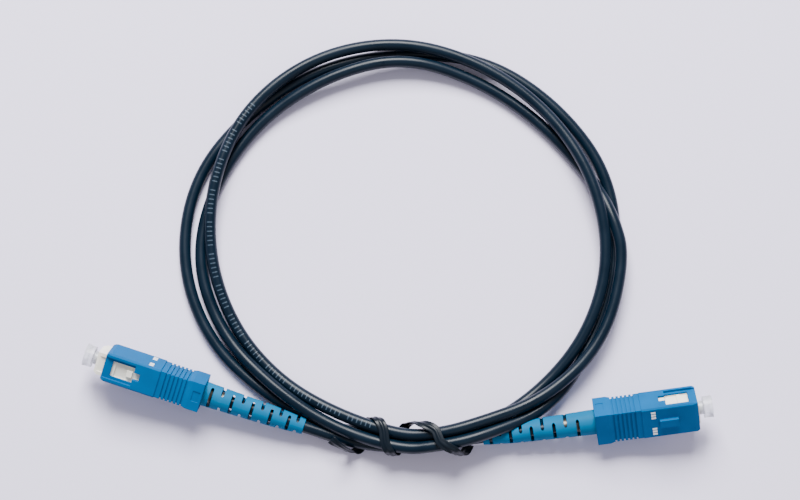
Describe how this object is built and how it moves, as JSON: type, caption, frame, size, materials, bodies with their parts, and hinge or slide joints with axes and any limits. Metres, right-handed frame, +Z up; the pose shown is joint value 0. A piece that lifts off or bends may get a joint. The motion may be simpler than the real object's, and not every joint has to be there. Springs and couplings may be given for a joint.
{
  "type": "fiber optic patch cord",
  "caption": "Coiled black fibre optic patch cord held by a twist tie, with a blue push-pull connector, slotted boot and dust cap on each end.",
  "frame": {"origin": "middle of the floor area under the two connectors, on the surface the cord lies on", "axes": "+X from the left connector to the right one, +Y from the tie across the coil, +Z up"},
  "size_m": [0.1542, 0.1057, 0.0135],
  "materials": {
    "housing_blue": "moulded, semi-gloss",
    "frame_ivory": "moulded, semi-gloss",
    "cap_clear": "translucent, satin",
    "boot_blue": "soft moulded, satin",
    "jacket_black": "smooth jacket, satin",
    "ceramic": "polished ceramic",
    "flange_metal": "nickel plated, satin",
    "tube_plastic": "plain",
    "spring_steel": "drawn wire",
    "ring_metal": "nickel plated, turned",
    "crimp_metal": "plated, pressed",
    "yarn": "loose strands",
    "fibre_buffer": "plain",
    "tie_black": "glossy",
    "tie_wire": "annealed wire"
  },
  "bodies": {
    "cord": {"plug_frame_a": "frame_ivory", "stop_ring_a": "ring_metal", "crimp_sleeve_a": "crimp_metal", "aramid_yarn_a": "yarn", "boot_a": "boot_blue", "cable_lead_a": "jacket_black", "ferrule_spring_a": "spring_steel", "plug_frame_b": "frame_ivory", "stop_ring_b": "ring_metal", "crimp_sleeve_b": "crimp_metal", "aramid_yarn_b": "yarn", "boot_b": "boot_blue", "cable_lead_b": "jacket_black", "ferrule_spring_b": "spring_steel", "cable_coil": "jacket_black", "twist_tie_ribbon": "tie_black", "twist_tie_wire": "tie_wire"},
    "housing_a": {"outer_housing_a": "housing_blue"},
    "ferrule_group_a": {"ferrule_a": "ceramic", "ferrule_flange_a": "flange_metal", "lead_in_tube_a": "tube_plastic", "buffered_fibre_a": "fibre_buffer"},
    "cap_a": {"dust_cap_a": "cap_clear"},
    "housing_b": {"outer_housing_b": "housing_blue"},
    "ferrule_group_b": {"ferrule_b": "ceramic", "ferrule_flange_b": "flange_metal", "lead_in_tube_b": "tube_plastic", "buffered_fibre_b": "fibre_buffer"},
    "cap_b": {"dust_cap_b": "cap_clear"}
  },
  "joints": [
    {"name": "housing_slide_a", "type": "slide", "parent": "cord", "child": "housing_a", "axis": [-0.9487, 0.3083, 0.0698], "range_m": [0, 0.0019]},
    {"name": "ferrule_float_a", "type": "slide", "parent": "cord", "child": "ferrule_group_a", "axis": [-0.9487, 0.3083, 0.0698], "range_m": [-0.001, 0], "stiffness_N_per_m": 2000, "springref_m": 0.003, "deforming": ["ferrule_spring_a", "buffered_fibre_a"]},
    {"name": "cap_pull_a", "type": "slide", "parent": "ferrule_group_a", "child": "cap_a", "axis": [-0.9487, 0.3083, 0.0698], "range_m": [0, 0.01]},
    {"name": "housing_slide_b", "type": "slide", "parent": "cord", "child": "housing_b", "axis": [0.9873, 0.1265, 0.0958], "range_m": [-0.0019, 0]},
    {"name": "ferrule_float_b", "type": "slide", "parent": "cord", "child": "ferrule_group_b", "axis": [0.9873, 0.1265, 0.0958], "range_m": [-0.001, 0], "stiffness_N_per_m": 2000, "springref_m": 0.003, "deforming": ["ferrule_spring_b", "buffered_fibre_b"]},
    {"name": "cap_pull_b", "type": "slide", "parent": "ferrule_group_b", "child": "cap_b", "axis": [0.9873, 0.1265, 0.0958], "range_m": [0, 0.01]}
  ]
}
